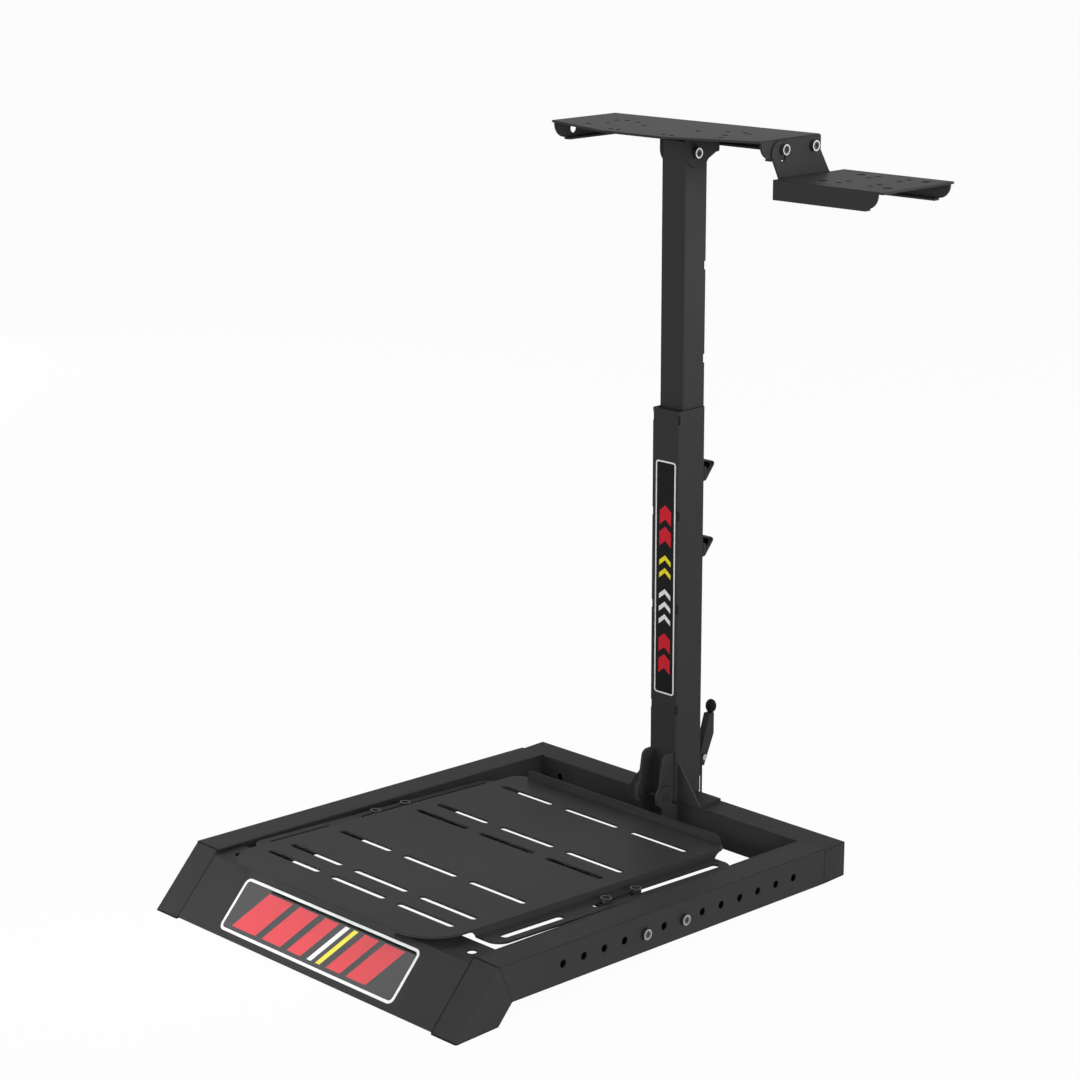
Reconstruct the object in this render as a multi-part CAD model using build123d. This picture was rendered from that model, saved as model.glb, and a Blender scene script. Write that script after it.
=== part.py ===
from build123d import *
import math
import os

# Folding racing wheel stand, in millimetres. The origin is on the floor under the middle of the
# rear crossbar, +X runs along the crossbar, +Y points to the driver's side and +Z is up.

# Base frame
crossbar_depth = 43
crossbar_height = 48
crossbar_hole_inset = 37.5
tube_wall = 1.5
cap_thickness = 3
rail_width = 40
rail_height = 50
rail_pitch = 2.4
rail_reach = 626
rail_hole_diameter = 10
rail_hole_first = 64
rail_hole_pitch = 36.2
rail_hole_count = 13
rail_bolt_holes = (6, 8)
foot_slope = 46.3

# Front panel
panel_thickness = 2
panel_lift = 2
panel_drop = 6
panel_flange = 48
panel_hole_diameter = 12.5
panel_hole_inset = 26

# Pedal deck, laid out on its own slope; slot rows are shares of its length
deck_height = 48.6
deck_pitch = 3.42
deck_thickness = 2.5
deck_width = 395
deck_rear = 115
deck_overhang = 34
deck_rear_radius = 19
deck_front_radius = 58
deck_lip_height = 12
deck_lip_setback = 4
deck_lip_insets = (21.5, 12.5)
deck_lip_radii = (4, 9.5)
deck_front_flange = 9
deck_step = 10
deck_wing_width = 36.1
deck_wing_gap = 11.4
deck_wing_rear = 143
deck_wing_front_gap = 4.7
deck_wing_radius = 19
deck_wing_relief = 15
deck_slot_length = 99.7
deck_slot_width = 10
deck_slot_pitch = 123.7
deck_slot_rows = (0.106, 0.334, 0.404, 0.657, 0.813, 0.8825)
deck_rib_index = 2
deck_rib_width = 34
deck_rib_height = 9
wing_slot_inset = 16.6
wing_slot_width = 11.8
wing_slot_lengths = (237, 106)
wing_slot_margin = 16
wing_slot_bridge = 55
deck_bolt_pitch = 54.5
deck_bolt_offset = -6.6
deck_bolt_head_height = 4
bracket_thickness = 3
bracket_tab = 75
bracket_length = 104
bracket_drop = 36
bolt_diameter = 10
bolt_head_diameter = 14.7
bolt_head_height = 6

# Post and its fold
post_width = 48.5
post_front = 28.2
post_rear = 24.1
post_wall = 2.3
post_radius = 2
post_top = 605.5
relief_heights = (183.5, 328.5, 460.5, 593.5)
relief_length = 12
relief_depth = 3.2
foot_plate_width = 132
foot_plate_thickness = 4
foot_plate_front = 24.4
foot_plate_rear = 20.4
gusset_height = 56
gusset_thickness = 3
pivot_y = -47
pivot_z = 61
pivot_radius = 16
pivot_pin_diameter = 8
pivot_head_diameter = 13
pivot_head_height = 1.5
ear_thickness = 3
ear_inner = 17.5
ear_top = 120.5
ear_top_reach = 20.5
ear_top_radius = 10
hinge_bottom = 10
hinge_web_top = 44
running_gap = 0.3

# Clamp knobs
knob_heights = (404.5, 512.8)
knob_radius = 22
knob_corner = 4
knob_thickness = 10
knob_stand_off = 13
knob_hub_diameter = 16
knob_screw_diameter = 8
strap_thickness = 4
strap_height = 14
pad_heights = (455, 575)
pad_length = 30
pad_width = 30

# Wheel plate
plate_top = 981.7
plate_thickness = 3
plate_right = 179
plate_left = 182.5
plate_rear = 64
plate_right_front = 56.5
plate_left_front = 60.3
plate_front = 101
plate_front_width = 104
plate_flange = 24.6
plate_flange_setback = 4
plate_flange_radius = 20
plate_return = 10
plate_side_hole = (-20.8, 13.7, 13)
plate_hole_diameter = 8
plate_hole_pairs = ((116.7, -58), (116.7, -4), (103.4, -34.5), (103.4, 3.4),
                    (47.5, -24), (53.5, -81.5), (39.8, -81.5), (79.7, -2))
tilt_bolt_y = -1.9
tilt_bolt_drop = 31.8
tilt_ear_y = 3.4
tilt_ear_drop = 28.7
tilt_ear_radius = 23.9
tilt_ear_left_radius = 21
tilt_ear_tail = 42.1
tilt_ear_tail_drop = 33.9
tilt_ear_tail_flat = 6
tilt_ear_tail_radius = 3
tilt_slot_y = -6.5
tilt_slot_z = 15

# Mast
mast_width = 43
mast_front = 16.9
mast_rear = 25.4
mast_wall = 1.5
mast_bottom = 310
mast_gap = 16.1
mast_relief_first = 168.1
mast_relief_pitch = 126.5
mast_relief_count = 2
mast_relief_width = 5.5

# Shifter mount
shifter_drop = 49.9
shifter_bolt_drop = 13.3
shifter_bolt_front = -13.7
shifter_bolt_rear = 46
shifter_tilt = 10
shifter_nut_diameter = 12
shifter_front = 32.9
shifter_rear = 111
shifter_width = 179.2
shifter_flange = 22.7
shifter_flange_ends = (9.3, 4.2)
shifter_flange_radius = 18
shifter_hole_x = 105
shifter_hole_y = 43.5
shifter_hole_pairs = ((24.4, 40), (24.4, 20.8))
shifter_corner_hole = (51.5, 39.2)
shifter_corner_diameter = 12.5
hanger_front = 35
hanger_foot_front = 17.5
hanger_rear = 62.3
hanger_foot_rear = 83.4
hanger_waist = 20
hanger_head_drop = 1
hanger_radius = 18

# Fold latch
latch_pin_y = 51.2
latch_pin_z = 90.2
latch_pin_diameter = 5
latch_head_diameter = 8.6
latch_head_height = 1.5
latch_width = 10
catch_sheet = 3
latch_arm_thickness = 2
latch_arm_height = 5
latch_arm_gap = 0.5
latch_base_thickness = 2.2
latch_base_low = 16.7
latch_base_high = 12
lever_boss = 7.5
lever_rise = 60.5
lever_knee = 30
lever_foot = 14
lever_front = 12.3
lever_rear = 22.6
lever_tail = 2.6
hook_diameter = 3
hook_offset = 2.5
hook_bottom = 12.5
hook_reach = 17
grip_width = 15.6
grip_height = 20
grip_offset = 21.5
grip_seat = 0.8
catch_width = 30
catch_reach = 20
catch_height = 24
catch_thickness = 4

nodes = {}


def block(x, y, z):
    size = (x[1] - x[0], y[1] - y[0], z[1] - z[0])
    middle = ((x[0] + x[1]) / 2, (y[0] + y[1]) / 2, (z[0] + z[1]) / 2)
    return Pos(*middle) * Box(*size)


def outline(points):
    return make_face(Polyline(*points, close=True))


def side_sheet(face, x_start, x_end):
    # A face drawn in (Y, Z) is given its thickness along X.
    return extrude(Plane.YZ.offset(x_start) * face, amount=x_end - x_start)


def flat_sheet(face, z_bottom, thickness):
    return extrude(Pos(0, 0, z_bottom) * face, amount=thickness)


def rod_x(radius, x_start, x_end, y, z):
    length = x_end - x_start
    return Pos((x_start + x_end) / 2, y, z) * Rot(0, 90, 0) * Cylinder(radius, length)


def rod_y(radius, y_start, y_end, x, z):
    length = y_end - y_start
    return Pos(x, (y_start + y_end) / 2, z) * Rot(90, 0, 0) * Cylinder(radius, length)


def rod_z(radius, z_start, z_end, x, y):
    return Pos(x, y, (z_start + z_end) / 2) * Cylinder(radius, z_end - z_start)


def slot_z(x, y, length, width, z, turn=0):
    # A cutter for an upright through slot, long along X, or along Y when turned.
    return extrude(Pos(x, y, z) * Rot(0, 0, turn) * SlotOverall(length, width), amount=2 * width, both=True)


def together(solids):
    return Compound(children=list(solids))


def mirrored(part):
    return mirror(part, about=Plane.YZ)


def nearest(face, y, z):
    return face.vertices().sort_by_distance((y, z, 0))[0]


# Base frame: a crossbar on the floor, two rails that rise to the front, and mitred feet

deck_half = deck_width / 2
wing_edge = deck_half + deck_wing_width
rail_inner = wing_edge + deck_wing_gap
half_frame = rail_inner + rail_width
crossbar_front = -crossbar_depth / 2
crossbar_back = crossbar_depth / 2
pitch_tan = math.tan(math.radians(rail_pitch))
slope_tan = math.tan(math.radians(foot_slope))


def rail_lower(y):
    return (crossbar_front - y) * pitch_tan


def rail_upper(y):
    return rail_lower(y) + rail_height / math.cos(math.radians(rail_pitch))


mitre_top = (-rail_reach, rail_upper(-rail_reach))
foot_toe = -rail_reach - mitre_top[1] / slope_tan
foot_heel = foot_toe + rail_height / math.sin(math.radians(foot_slope))
under_y = (crossbar_front * pitch_tan + foot_heel * slope_tan) / (slope_tan + pitch_tan)
mitre_under = (under_y, rail_lower(under_y))


def crossbar():
    outer = block((-half_frame, half_frame), (crossbar_front, crossbar_back), (0, crossbar_height))
    bore = block((-half_frame, half_frame), (crossbar_front + tube_wall, crossbar_back - tube_wall),
                 (tube_wall, crossbar_height - tube_wall))
    part = outer - bore
    for side in (-1, 1):
        part -= rod_y(rail_hole_diameter / 2, crossbar_front - 1, 0, side * (rail_inner - crossbar_hole_inset),
                      crossbar_height / 2)
    return part


def crossbar_cap():
    return block((half_frame - cap_thickness, half_frame),
                 (crossbar_front + tube_wall, crossbar_back - tube_wall),
                 (tube_wall, crossbar_height - tube_wall))


def rail_hole(index):
    # A point on the rail's middle line, counted from its rear end.
    along = rail_hole_first + index * rail_hole_pitch
    y = crossbar_front - along * math.cos(math.radians(rail_pitch))
    return y, (rail_lower(y) + rail_upper(y)) / 2


def bored_tube(face, bore_face):
    outer = side_sheet(face, rail_inner, half_frame)
    return outer - side_sheet(bore_face, rail_inner + tube_wall, half_frame - tube_wall)


def rail():
    wall_rise = tube_wall / math.cos(math.radians(rail_pitch))
    face = outline([(crossbar_front, rail_lower(crossbar_front)), (crossbar_front, rail_upper(crossbar_front)),
                    mitre_top, mitre_under])
    past = -rail_reach - rail_height
    bore = outline([(crossbar_front, rail_lower(crossbar_front) + wall_rise),
                    (crossbar_front, rail_upper(crossbar_front) - wall_rise),
                    (past, rail_upper(past) - wall_rise), (past, rail_lower(past) + wall_rise)])
    part = bored_tube(face, bore)
    for index in range(rail_hole_count):
        y, z = rail_hole(index)
        part -= rod_x(rail_hole_diameter / 2, rail_inner - 1, half_frame + 1, y, z)
    return part


def foot():
    face = outline([mitre_top, (foot_toe, 0), (foot_heel, 0), mitre_under])
    wall_run = tube_wall / math.sin(math.radians(foot_slope))

    def front_line(z):
        return foot_toe + z / slope_tan + wall_run

    def back_line(z):
        return foot_heel + z / slope_tan - wall_run

    past = 2 * rail_height
    bore = outline([(front_line(-past), -past), (front_line(past), past), (back_line(past), past),
                    (back_line(-past), -past)])
    return bored_tube(face, bore)


panel_fold_z = mitre_top[1] - panel_drop
panel_fold_y = foot_toe + panel_fold_z / slope_tan
panel_edge_y = panel_fold_y + panel_flange


def front_panel():
    # A sloped sheet level with the feet, folded back along the top.
    run = panel_thickness / math.sin(math.radians(foot_slope))
    inner_z = panel_fold_z - panel_thickness
    bottom_y = foot_toe + panel_lift / slope_tan
    face = outline([(bottom_y, panel_lift), (panel_fold_y, panel_fold_z), (panel_edge_y, panel_fold_z),
                    (panel_edge_y, inner_z), (foot_toe + inner_z / slope_tan + run, inner_z),
                    (bottom_y + run, panel_lift)])
    part = side_sheet(face, -rail_inner, rail_inner)
    for side in (-1, 1):
        part -= rod_z(panel_hole_diameter / 2, panel_fold_z - 2 * panel_thickness, panel_fold_z + 1,
                      side * (rail_inner - panel_hole_inset), panel_edge_y - panel_flange / 2)
    return part


nodes["rear_crossbar"] = crossbar()
nodes["crossbar_caps"] = together([crossbar_cap(), mirrored(crossbar_cap())])
nodes["right_rail"] = rail()
nodes["left_rail"] = mirrored(rail())
nodes["right_foot"] = foot()
nodes["left_foot"] = mirrored(foot())
nodes["front_panel"] = front_panel()

# Pedal deck: a folded tray with slots, bolted through its side wings to brackets on the rails

deck_place = Pos(0, 0, deck_height) * Rot(-deck_pitch, 0, 0)
deck_front = rail_reach + deck_overhang
deck_length = deck_front - deck_rear
wing_top = -deck_step
wing_bottom = wing_top - deck_thickness
deck_wing_front = -panel_edge_y - deck_wing_front_gap
wing_slot_x = wing_edge - wing_slot_inset
deck_rows = [deck_rear + share * deck_length for share in deck_slot_rows]


def deck_outline():
    face = Pos(0, -deck_rear - deck_length / 2) * Rectangle(deck_width, deck_length)
    corners = face.vertices().sort_by(Axis.Y)
    face = fillet(corners[2:], deck_rear_radius)
    return fillet(face.vertices().sort_by(Axis.Y)[:2], deck_front_radius)


def deck_wing():
    length = deck_wing_front - deck_wing_rear
    inner = deck_half - deck_thickness
    middle = (inner + wing_edge) / 2
    face = Pos(middle, -(deck_wing_rear + deck_wing_front) / 2) * Rectangle(wing_edge - inner, length)
    face = fillet(face.vertices().sort_by(Axis.X)[2:], deck_wing_radius)
    near = deck_wing_rear + wing_slot_margin
    for slot_length in wing_slot_lengths:
        slot = Rot(0, 0, 90) * SlotOverall(slot_length, wing_slot_width)
        face -= Pos(wing_slot_x, -near - slot_length / 2) * slot
        near += slot_length + wing_slot_bridge
    return flat_sheet(face, wing_bottom, deck_thickness) + deck_wall()


def deck_wall():
    # The step between deck and wing runs out at both ends in a concave curve.
    rise = deck_step
    spread = math.sqrt(deck_wing_relief ** 2 - (deck_wing_relief - rise) ** 2)
    rear = -deck_wing_rear + spread
    front = -deck_wing_front - spread
    face = outline([(rear, -deck_thickness), (front, -deck_thickness), (front, wing_bottom), (rear, wing_bottom)])
    for end in (rear, front):
        face -= Pos(end, -deck_thickness - deck_wing_relief) * Circle(deck_wing_relief)
    return side_sheet(face, deck_half - deck_thickness, deck_half)


def deck_lip():
    left = deck_lip_insets[0] - deck_half
    right = deck_half - deck_lip_insets[1]
    face = outline([(left, -deck_thickness), (right, -deck_thickness), (right, deck_lip_height),
                    (left, deck_lip_height)])
    for end, radius in zip((left, right), deck_lip_radii):
        face = fillet(nearest(face, end, deck_lip_height), radius)
    return extrude(Plane.XZ.offset(deck_rear + deck_lip_setback) * face, amount=-deck_thickness)


def deck_nose():
    reach = deck_half - deck_front_radius
    return block((-reach, reach), (-deck_front, -deck_front + deck_thickness), (-deck_front_flange, 0))


def deck_tray():
    part = flat_sheet(deck_outline(), -deck_thickness, deck_thickness)
    part += deck_lip()
    part += deck_nose()
    wing = deck_wing()
    part += wing
    part += mirrored(wing)
    for row in deck_rows:
        for column in (-1, 0, 1):
            part -= slot_z(column * deck_slot_pitch, -row, deck_slot_length, deck_slot_width, 0)
    return part


def deck_rib():
    # A shallow channel under one slot row stiffens the tray.
    half = deck_rib_width / 2
    middle = -deck_rows[deck_rib_index]
    reach = deck_half - 2 * deck_thickness
    top = -deck_thickness
    solid = block((-reach, reach), (middle - half, middle + half), (top - deck_rib_height, top))
    hollow = block((-reach, reach), (middle - half + tube_wall, middle + half - tube_wall),
                   (top - deck_rib_height + tube_wall, top))
    return solid - hollow


bolt_places = [rail_hole(index) for index in rail_bolt_holes]
bracket_middle = sum(y for y, z in bolt_places) / len(bolt_places)
tab_middle = bracket_middle + deck_bolt_offset
deck_bolt_rows = (tab_middle - deck_bolt_pitch / 2, tab_middle + deck_bolt_pitch / 2)


def deck_bracket():
    # An angle on the rail's inner face, its upper leg parallel to the deck.
    top = wing_bottom - running_gap
    half = bracket_length / 2
    tab = block((deck_half + deck_thickness, rail_inner),
                (tab_middle - bracket_tab / 2, tab_middle + bracket_tab / 2), (top - bracket_thickness, top))
    wall = block((rail_inner - bracket_thickness, rail_inner), (bracket_middle - half, bracket_middle + half),
                 (top - bracket_drop, top))
    part = tab + wall
    for row in deck_bolt_rows:
        part -= rod_z(bolt_diameter / 2 + running_gap, top - bracket_drop, top + 1, wing_slot_x, row)
    part = deck_place * part
    for y, z in bolt_places:
        part -= rod_x(bolt_diameter / 2 + running_gap, wing_slot_x, rail_inner + 1, y, z)
    return part


def deck_bolts():
    seat = wing_top + running_gap
    lower = wing_bottom - 3 * bracket_thickness
    solids = []
    for side in (-1, 1):
        for row in deck_bolt_rows:
            head = rod_z(bolt_head_diameter / 2, seat, seat + deck_bolt_head_height, side * wing_slot_x, row)
            shank = rod_z(bolt_diameter / 2, lower, seat, side * wing_slot_x, row)
            solids.append(deck_place * (head + shank))
    return together(solids)


def rail_bolts():
    solids = []
    inner_end = rail_inner - bracket_thickness - bolt_head_height
    for side in (-1, 1):
        for y, z in bolt_places:
            head = rod_x(bolt_head_diameter / 2, half_frame, half_frame + bolt_head_height, y, z)
            shank = rod_x(bolt_diameter / 2 - running_gap, inner_end, half_frame, y, z)
            nut = rod_x(bolt_head_diameter / 2, inner_end, inner_end + bolt_head_height, y, z)
            bolt = head + shank + nut
            solids.append(bolt if side > 0 else mirrored(bolt))
    return together(solids)


nodes["pedal_deck"] = deck_place * deck_tray()
nodes["deck_rib"] = deck_place * deck_rib()
nodes["right_deck_bracket"] = deck_bracket()
nodes["left_deck_bracket"] = mirrored(deck_bracket())
nodes["deck_bolts"] = deck_bolts()
nodes["rail_bolts"] = rail_bolts()

# Fold hinge: ears on the post turn on pins between the cheeks of a bracket on the crossbar's front

post_half = post_width / 2
post_bottom = crossbar_height + foot_plate_thickness
ear_outer = ear_inner + ear_thickness
cheek_inner = ear_outer + running_gap
cheek_outer = cheek_inner + ear_thickness


def round_lug(points):
    face = outline(points) + Pos(pivot_y, pivot_z) * Circle(pivot_radius)
    return face - Pos(pivot_y, pivot_z) * Circle(pivot_pin_diameter / 2 + running_gap)


def post_ear():
    top_front = -post_front - ear_top_reach
    lean = pivot_y - pivot_radius * 0.6
    bend = pivot_z + pivot_radius * 0.8
    heel = pivot_z - pivot_radius * 0.5
    face = round_lug([(-post_front, ear_top), (top_front, ear_top), (lean, bend), (pivot_y, heel),
                      (-post_front, heel)])
    face = fillet(nearest(face, top_front, ear_top), ear_top_radius)
    return side_sheet(face, ear_inner, ear_outer)


def hinge_cheek():
    web_face = crossbar_front - ear_thickness
    front = pivot_y - pivot_radius * 0.4
    neck = pivot_y + pivot_radius * 0.7
    face = round_lug([(web_face, hinge_bottom), (web_face, hinge_web_top), (neck, pivot_z - pivot_radius * 0.7),
                      (front, pivot_z), (front, hinge_bottom)])
    return side_sheet(face, cheek_inner, cheek_outer)


def hinge_bracket():
    web = block((-cheek_outer, cheek_outer), (crossbar_front - ear_thickness, crossbar_front),
                (hinge_bottom, hinge_web_top))
    cheek = hinge_cheek()
    return web + cheek + mirrored(cheek)


def hinge_pin():
    inner = ear_inner - running_gap
    outer = cheek_outer + running_gap
    pin = rod_x(pivot_pin_diameter / 2, inner, outer, pivot_y, pivot_z)
    head = rod_x(pivot_head_diameter / 2, outer, outer + pivot_head_height, pivot_y, pivot_z)
    stop = rod_x(pivot_head_diameter / 2, inner - pivot_head_height, inner, pivot_y, pivot_z)
    return pin + head + stop


nodes["hinge_bracket"] = hinge_bracket()
nodes["hinge_pins"] = together([hinge_pin(), mirrored(hinge_pin())])
nodes["right_hinge_ear"] = post_ear()
nodes["left_hinge_ear"] = mirrored(post_ear())

# Post: an open channel on a foot plate, with gussets, clamp straps and a pair of glide pads


def rounded_tube(half, front, rear, bottom, top):
    face = Pos(0, (rear - front) / 2) * RectangleRounded(2 * half, front + rear, post_radius)
    return flat_sheet(face, bottom, top - bottom)


def lower_post():
    inner = block((post_wall - post_half, post_half - post_wall), (post_wall - post_front, post_rear + 1),
                  (post_bottom, post_top))
    part = rounded_tube(post_half, post_front, post_rear, post_bottom, post_top) - inner
    for z in relief_heights:
        notch = block((post_half - relief_depth, post_half), (-post_front, post_wall - post_front),
                      (z - relief_length / 2, z + relief_length / 2))
        part -= notch
        part -= mirrored(notch)
    return part


def foot_plate():
    return block((-foot_plate_width / 2, foot_plate_width / 2), (-foot_plate_front, foot_plate_rear),
                 (crossbar_height, post_bottom))


def gusset():
    face = outline([(post_half, post_bottom), (foot_plate_width / 2, post_bottom),
                    (post_half, post_bottom + gusset_height)])
    return extrude(Plane.XZ.offset(foot_plate_front) * face, amount=-gusset_thickness)


strap_face = max(post_rear, mast_rear + running_gap) + strap_thickness


def strap(z):
    # A bridge across the channel's open side, hollowed to let the mast pass.
    z_range = (z - strap_height / 2, z + strap_height / 2)
    part = block((-post_half, post_half), (post_rear, strap_face), z_range)
    recess = post_half - post_wall
    part -= block((-recess, recess), (post_rear, strap_face - strap_thickness), z_range)
    return part - rod_y(knob_screw_diameter / 2 + running_gap, mast_rear, strap_face + 1, 0, z)


def clamp_knob(z):
    back = strap_face + running_gap
    grip = back + knob_stand_off
    face = fillet(RegularPolygon(knob_radius, 3, rotation=-90).vertices(), knob_corner)
    head = extrude(Plane.XZ.offset(-grip) * face, amount=-knob_thickness)
    hub = rod_y(knob_hub_diameter / 2, back, grip + 1, 0, 0)
    screw = rod_y(knob_screw_diameter / 2, mast_rear + running_gap, back + 1, 0, 0)
    return Pos(0, 0, z) * (head + hub + screw)


def glide_pad(z):
    return block((-pad_width / 2, pad_width / 2), (post_wall - post_front, -mast_front - running_gap),
                 (z - pad_length / 2, z + pad_length / 2))


nodes["lower_post"] = lower_post()
nodes["post_foot_plate"] = foot_plate()
nodes["right_gusset"] = gusset()
nodes["left_gusset"] = mirrored(gusset())
nodes["clamp_straps"] = together(strap(z) for z in knob_heights)
nodes["lower_clamp_knob"] = clamp_knob(knob_heights[0])
nodes["upper_clamp_knob"] = clamp_knob(knob_heights[1])
nodes["glide_pads"] = together(glide_pad(z) for z in pad_heights)

# Mast: a closed tube that slides in the post

mast_top = plate_top - mast_gap
mast_half = mast_width / 2
tilt_bolt_z = plate_top - tilt_bolt_drop


def mast():
    inner = block((mast_wall - mast_half, mast_half - mast_wall), (mast_wall - mast_front, mast_rear - mast_wall),
                  (mast_bottom, mast_top))
    part = rounded_tube(mast_half, mast_front, mast_rear, mast_bottom, mast_top) - inner
    for index in range(mast_relief_count):
        z = mast_top - mast_relief_first - index * mast_relief_pitch
        notch = block((mast_half - relief_depth, mast_half), (mast_rear - mast_relief_width, mast_rear),
                      (z - relief_length / 2, z + relief_length / 2))
        part -= notch
        part -= mirrored(notch)
    part -= rod_x(bolt_diameter / 2 + running_gap, -mast_width, mast_width, tilt_bolt_y, tilt_bolt_z)
    return part


def tilt_bolt():
    ear_face = mast_half + plate_thickness + 2 * running_gap
    shank = rod_x(bolt_diameter / 2, -ear_face, ear_face, tilt_bolt_y, tilt_bolt_z)
    head = rod_x(bolt_head_diameter / 2, ear_face, ear_face + bolt_head_height, tilt_bolt_y, tilt_bolt_z)
    nut_face = Pos(tilt_bolt_y, tilt_bolt_z) * RegularPolygon(bolt_head_diameter / 2, 6, major_radius=False)
    nut = side_sheet(nut_face, -ear_face - bolt_head_height, -ear_face)
    return shank + head + nut


nodes["mast"] = mast()
nodes["tilt_bolt"] = tilt_bolt()

# Wheel plate: a folded plate that tilts on the mast's top bolt

plate_bottom = plate_top - plate_thickness
plate_low = plate_top - plate_flange
return_bottom = plate_low - plate_thickness
shifter_bolt_z = plate_top - shifter_bolt_drop


def plate_outline():
    front_half = plate_front_width / 2
    return outline([(-plate_left, plate_rear), (plate_right, plate_rear), (plate_right, -plate_right_front),
                    (front_half, -plate_front), (-front_half, -plate_front), (-plate_left, -plate_left_front)])


def plate_side(half, side_front, holes):
    # A right-hand flange: its round front corner runs out where the edge turns in as a narrow return.
    front = plate_flange_setback - side_front
    fold = front + plate_flange_radius
    face = outline([(front, plate_bottom), (plate_rear, plate_bottom), (plate_rear, plate_low),
                    (front, plate_low)])
    face = fillet(nearest(face, front, plate_low), plate_flange_radius)
    for y, z, diameter in holes:
        face -= Pos(y, z) * Circle(diameter / 2)
    part = side_sheet(face, half - plate_thickness, half)
    return part + block((half - plate_return, half), (fold, plate_rear), (return_bottom, plate_low))


def wheel_plate():
    part = flat_sheet(plate_outline(), plate_bottom, plate_thickness)
    bolt_hole = bolt_diameter + 2 * running_gap
    bolt_holes = [(y, shifter_bolt_z, bolt_hole) for y in (shifter_bolt_front, shifter_bolt_rear)]
    part += plate_side(plate_right, plate_right_front, bolt_holes)
    hole_y, hole_drop, hole_diameter = plate_side_hole
    spare_hole = [(hole_y, plate_top - hole_drop, hole_diameter)]
    part += mirrored(plate_side(plate_left, plate_left_front, spare_hole))
    across = (-plate_left, plate_right)
    part += block(across, (plate_rear - plate_thickness, plate_rear), (return_bottom, plate_bottom))
    part += block(across, (plate_rear - plate_return, plate_rear), (return_bottom, plate_low))
    for x, y in plate_hole_pairs:
        for side in (-1, 1):
            part -= rod_z(plate_hole_diameter / 2, plate_bottom - 1, plate_top + 1, side * x, y)
    return part


def tilt_ear(radius):
    centre = (tilt_ear_y, plate_top - tilt_ear_drop)
    tail_end = tilt_ear_y + tilt_ear_tail
    tail_low = plate_top - tilt_ear_tail_drop
    front = tilt_ear_y - radius
    face = outline([(front, plate_bottom), (tail_end, plate_bottom), (tail_end, tail_low),
                    (tail_end - tilt_ear_tail_flat, tail_low),
                    (tilt_ear_y + radius * 0.62, centre[1] - radius * 0.65), centre, (front, centre[1])])
    face = fillet(nearest(face, tail_end, tail_low), tilt_ear_tail_radius)
    face += Pos(*centre) * Circle(radius)
    face -= Pos(tilt_bolt_y, tilt_bolt_z) * Circle(bolt_diameter / 2 + running_gap)
    slot_turn = math.degrees(math.atan2(tilt_slot_z, tilt_slot_y))
    slot_length = math.hypot(tilt_slot_y, tilt_slot_z)
    slot_middle = (tilt_bolt_y + tilt_slot_y / 2, tilt_bolt_z + tilt_slot_z / 2)
    slot = SlotOverall(slot_length + bolt_diameter, bolt_diameter * 0.8)
    face -= Pos(*slot_middle) * Rot(0, 0, slot_turn) * slot
    inner = mast_half + running_gap
    return side_sheet(face, inner, inner + plate_thickness)


nodes["wheel_plate"] = wheel_plate()
nodes["right_tilt_ear"] = tilt_ear(tilt_ear_radius)
nodes["left_tilt_ear"] = mirrored(tilt_ear(tilt_ear_left_radius))

# Shifter mount: one folded sheet, hung on the wheel plate's right flange by a pivot and a slot

shifter_left = plate_right + running_gap
shifter_right = shifter_left + shifter_width
shifter_fold = shifter_left + plate_thickness + 2 * running_gap
shifter_top = plate_top - shifter_drop
shifter_bottom = shifter_top - plate_thickness
shifter_low = shifter_top - shifter_flange


def shifter_hanger():
    # The front bolt's slot is an arc about the rear bolt, as long as the tilt needs.
    head = plate_top - hanger_head_drop
    waist = plate_top - hanger_waist
    face = outline([(-hanger_foot_front, shifter_bottom), (-hanger_front, waist), (-hanger_front, head),
                    (hanger_rear, head), (hanger_rear, waist), (hanger_foot_rear, shifter_bottom)])
    face = fillet(nearest(face, -hanger_front, head), hanger_radius)
    bolt_hole = bolt_diameter + 2 * running_gap
    face -= Pos(shifter_bolt_rear, shifter_bolt_z) * Circle(bolt_hole / 2)
    swing_radius = shifter_bolt_rear - shifter_bolt_front
    swing = CenterArc((shifter_bolt_rear, shifter_bolt_z), swing_radius, 180, shifter_tilt)
    face -= SlotArc(swing, bolt_hole)
    return side_sheet(face, shifter_left, shifter_left + plate_thickness)


def shifter_edge(y_range, return_range, end):
    # A hanging flange with one round corner and a narrow return along the rest of its lower edge.
    right = shifter_right - end
    face = outline([(shifter_fold, shifter_top), (right, shifter_top), (right, shifter_low),
                    (shifter_fold, shifter_low)])
    face = fillet(nearest(face, right, shifter_low), shifter_flange_radius)
    part = extrude(Plane.XZ.offset(-y_range[1]) * face, amount=y_range[1] - y_range[0])
    return part + block((shifter_fold, right - shifter_flange_radius), return_range,
                        (shifter_low - plate_thickness, shifter_low))


def shifter_plate():
    front = -shifter_front
    rear = shifter_rear
    part = block((shifter_fold, shifter_right), (front, rear), (shifter_bottom, shifter_top))
    part += block((shifter_left, shifter_fold), (-hanger_foot_front, hanger_foot_rear),
                  (shifter_bottom, shifter_top))
    part += shifter_hanger()
    part += shifter_edge((front, front + plate_thickness), (front, front + plate_return), shifter_flange_ends[0])
    part += shifter_edge((rear - plate_thickness, rear), (rear - plate_return, rear), shifter_flange_ends[1])
    holes = [(place, plate_hole_diameter) for place in shifter_hole_pairs]
    holes.append((shifter_corner_hole, shifter_corner_diameter))
    for (across, along), diameter in holes:
        for side_x in (-across, across):
            for side_y in (-along, along):
                part -= rod_z(diameter / 2, shifter_bottom - 1, shifter_top + 1,
                              shifter_left + shifter_hole_x + side_x, shifter_hole_y + side_y)
    return part


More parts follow.
